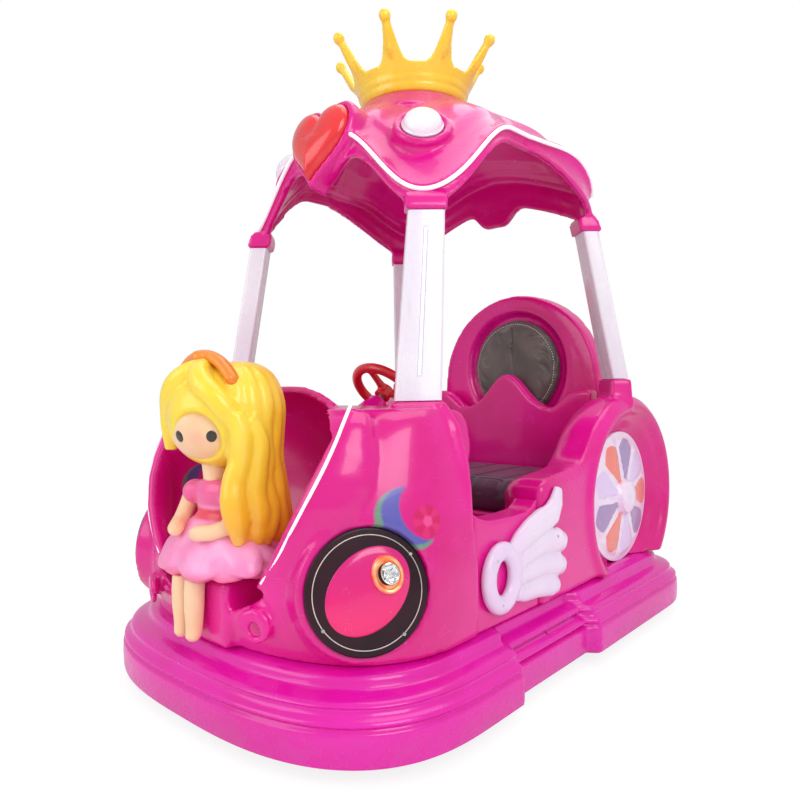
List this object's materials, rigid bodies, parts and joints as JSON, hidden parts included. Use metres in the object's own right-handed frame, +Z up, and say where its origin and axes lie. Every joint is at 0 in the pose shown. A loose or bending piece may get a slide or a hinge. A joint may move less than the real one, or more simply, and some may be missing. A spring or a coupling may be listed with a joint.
{
  "type": "bumper car",
  "caption": "Carriage-shaped bumper car with a skirted base, bench seat, canopy on posts with a crown, and a seated doll in the nose; wheels roll and the front pair steers.",
  "frame": {"origin": "centre of the base on the floor", "axes": "+X to the front, +Y to the car's left, +Z up"},
  "size_m": [1.8, 1.2, 1.9414],
  "materials": {
    "pink_shell": "glossy moulded glass-fibre shell",
    "frame_steel": "satin black",
    "motor_paint": "satin grey",
    "battery_case": "matt",
    "cushion_vinyl": "soft vinyl",
    "back_pad_vinyl": "soft vinyl, stitched",
    "white_shell": "satin white",
    "rosette_white": "gloss, coloured petals",
    "lamp_lens": "translucent white",
    "red_plastic": "gloss",
    "crown_yellow": "gloss",
    "headlamp_black": "gloss black ring with pink face",
    "doll_skin": "satin paint",
    "doll_dress": "satin paint",
    "doll_hair": "satin paint",
    "zinc_steel": "zinc plated",
    "tyre_rubber": "solid rubber"
  },
  "bodies": {
    "body": {"bumper_front": "pink_shell", "bumper_rear": "pink_shell", "floor_deck": "pink_shell", "chassis_frame": "frame_steel", "front_axle": "frame_steel", "rear_axle": "frame_steel", "drive_motor": "motor_paint", "front_body": "pink_shell", "dash_panel": "pink_shell", "side_sill_left": "pink_shell", "side_sill_right": "pink_shell", "rear_quarter_left": "pink_shell", "rear_quarter_right": "pink_shell", "rosette_left": "rosette_white", "rosette_right": "rosette_white", "tail_panel": "pink_shell", "seat_tub": "pink_shell", "battery_block": "battery_case", "seat_cushion": "cushion_vinyl", "seat_back_shell": "pink_shell", "seat_back_pad": "back_pad_vinyl", "front_post_left": "white_shell", "front_post_right": "white_shell", "rear_post_left": "white_shell", "rear_post_right": "white_shell", "canopy": "pink_shell", "heart_badge": "red_plastic", "lamp_dome_left": "lamp_lens", "lamp_dome_right": "lamp_lens", "crown": "crown_yellow", "headlamp_left": "headlamp_black", "headlamp_right": "headlamp_black", "wing_left": "white_shell", "wing_right": "white_shell", "doll_dress": "doll_dress", "doll_head": "doll_skin", "doll_hair": "doll_hair", "doll_legs": "doll_skin"},
    "steering": {"steering_wheel": "red_plastic", "steering_column": "zinc_steel"},
    "drop_arm": {"steering_shaft": "zinc_steel"},
    "track_rod": {"track_rod": "zinc_steel"},
    "knuckle_left": {"knuckle_left": "zinc_steel"},
    "knuckle_right": {"knuckle_right": "zinc_steel"},
    "front_wheel_left": {"front_rim_left": "zinc_steel", "front_tyre_left": "tyre_rubber"},
    "front_wheel_right": {"front_rim_right": "zinc_steel", "front_tyre_right": "tyre_rubber"},
    "rear_wheel_left": {"rear_rim_left": "zinc_steel", "rear_tyre_left": "tyre_rubber"},
    "rear_wheel_right": {"rear_rim_right": "zinc_steel", "rear_tyre_right": "tyre_rubber"}
  },
  "joints": [
    {"name": "knuckle_left_steer", "type": "hinge", "parent": "body", "child": "knuckle_left", "pos_m": [0.38, 0.345, 0.08], "axis": [0, 0, 1], "range_deg": [-35, 35]},
    {"name": "knuckle_right_steer", "type": "hinge", "parent": "body", "child": "knuckle_right", "pos_m": [0.38, -0.345, 0.08], "axis": [0, 0, 1], "range_deg": [-35, 35]},
    {"name": "steering_wheel_turn", "type": "hinge", "parent": "body", "child": "steering", "pos_m": [0.16, 0, 0.81], "axis": [-0.7071, 0, 0.7071], "range_deg": [-35, 35]},
    {"name": "drop_arm_turn", "type": "hinge", "parent": "body", "child": "drop_arm", "pos_m": [0.3, 0, 0.106], "axis": [0, 0, 1], "range_deg": [-35, 35]},
    {"name": "track_rod_turn", "type": "hinge", "parent": "drop_arm", "child": "track_rod", "pos_m": [0.19, 0, 0.1], "axis": [0, 0, 1], "range_deg": [-35, 35]},
    {"name": "front_wheel_left_spin", "type": "hinge", "parent": "knuckle_left", "child": "front_wheel_left", "pos_m": [0.38, 0.405, 0.08], "axis": [0, 1, 0], "continuous": true},
    {"name": "front_wheel_right_spin", "type": "hinge", "parent": "knuckle_right", "child": "front_wheel_right", "pos_m": [0.38, -0.405, 0.08], "axis": [0, 1, 0], "continuous": true},
    {"name": "rear_wheel_left_spin", "type": "hinge", "parent": "body", "child": "rear_wheel_left", "pos_m": [-0.48, 0.405, 0.08], "axis": [0, 1, 0], "continuous": true},
    {"name": "rear_wheel_right_spin", "type": "hinge", "parent": "body", "child": "rear_wheel_right", "pos_m": [-0.48, -0.405, 0.08], "axis": [0, 1, 0], "continuous": true}
  ],
  "couplings": [
    {"joint": "knuckle_right_steer", "follows": "knuckle_left_steer", "ratio": 1},
    {"joint": "steering_wheel_turn", "follows": "knuckle_left_steer", "ratio": 1},
    {"joint": "drop_arm_turn", "follows": "knuckle_left_steer", "ratio": 1},
    {"joint": "track_rod_turn", "follows": "knuckle_left_steer", "ratio": -1}
  ]
}
